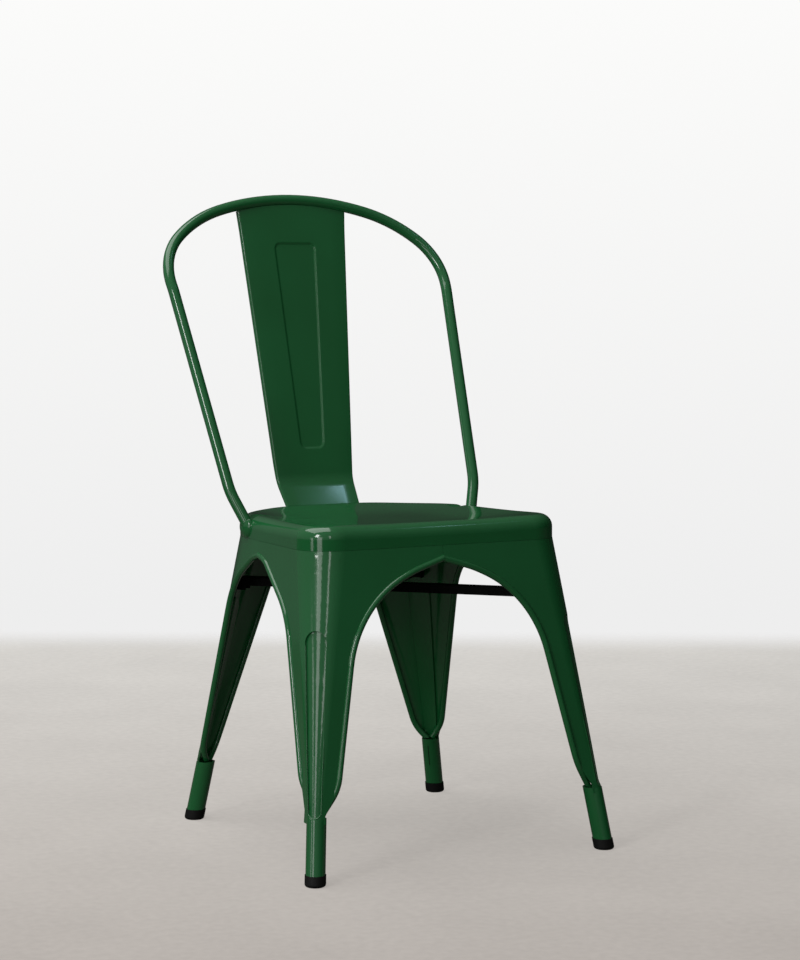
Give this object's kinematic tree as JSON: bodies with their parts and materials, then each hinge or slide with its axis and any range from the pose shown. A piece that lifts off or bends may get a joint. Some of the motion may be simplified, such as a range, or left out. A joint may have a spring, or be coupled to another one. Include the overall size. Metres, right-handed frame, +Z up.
{
  "type": "metal bistro chair",
  "caption": "Painted pressed-steel cafe chair with a dished seat, a bent tube hoop round a flat splat, splayed fluted legs and rubber feet.",
  "frame": {"origin": "centre of the chair's footprint rectangle, on the floor", "axes": "+Z up; the front of the chair faces -Y; +X to the right seen from the front"},
  "size_m": [0.4456, 0.5155, 0.85],
  "materials": {
    "painted_steel": "gloss green powder coat",
    "foot_rubber": "satin black"
  },
  "bodies": {
    "root": {"back_hoop": "painted_steel", "seat_pan": "painted_steel", "back_splat": "painted_steel", "leg_front_right": "painted_steel", "leg_front_left": "painted_steel", "leg_rear_right": "painted_steel", "leg_rear_left": "painted_steel", "foot_cap_front_right": "foot_rubber", "foot_cap_front_left": "foot_rubber", "foot_cap_rear_right": "foot_rubber", "foot_cap_rear_left": "foot_rubber", "brace_front_right_rear_left": "painted_steel", "brace_front_left_rear_right": "painted_steel"}
  },
  "joints": []
}
